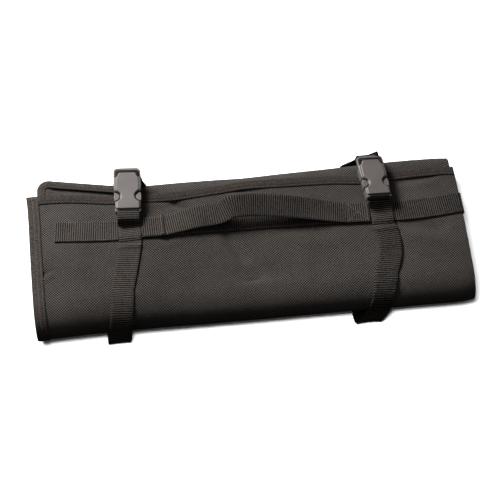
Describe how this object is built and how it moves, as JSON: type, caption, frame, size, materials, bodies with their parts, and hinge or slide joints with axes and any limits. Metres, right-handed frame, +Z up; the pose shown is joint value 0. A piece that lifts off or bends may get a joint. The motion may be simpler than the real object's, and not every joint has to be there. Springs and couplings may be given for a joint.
{
  "type": "chef knife roll",
  "caption": "Padded cloth knife roll, rolled flat and buckled shut, with bound edges, a sewn handle tape with a raised grip, and webbing straps with side-release buckles.",
  "frame": {"origin": "under the middle of the whole part, on the surface it rests on", "axes": "+X along the roll from the bound end to the folded end, -Y towards the big front fold, +Z up from the surface it rests on"},
  "size_m": [0.491, 0.2066, 0.0653],
  "materials": {
    "cloth": "matte coated polyester",
    "binding": "matte woven tape",
    "webbing": "ribbed webbing",
    "plastic": "satin moulded"
  },
  "bodies": {
    "root": {"roll_sheet": "cloth", "end_binding": "binding", "edge_binding": "binding", "inner_flap": "cloth", "flap_binding": "binding", "handle_tape": "webbing", "handle_grip": "webbing", "strap_left": "webbing", "buckle_left_socket": "plastic", "buckle_left_plug": "plastic", "strap_right": "webbing", "buckle_right_socket": "plastic", "buckle_right_plug": "plastic"}
  },
  "joints": []
}
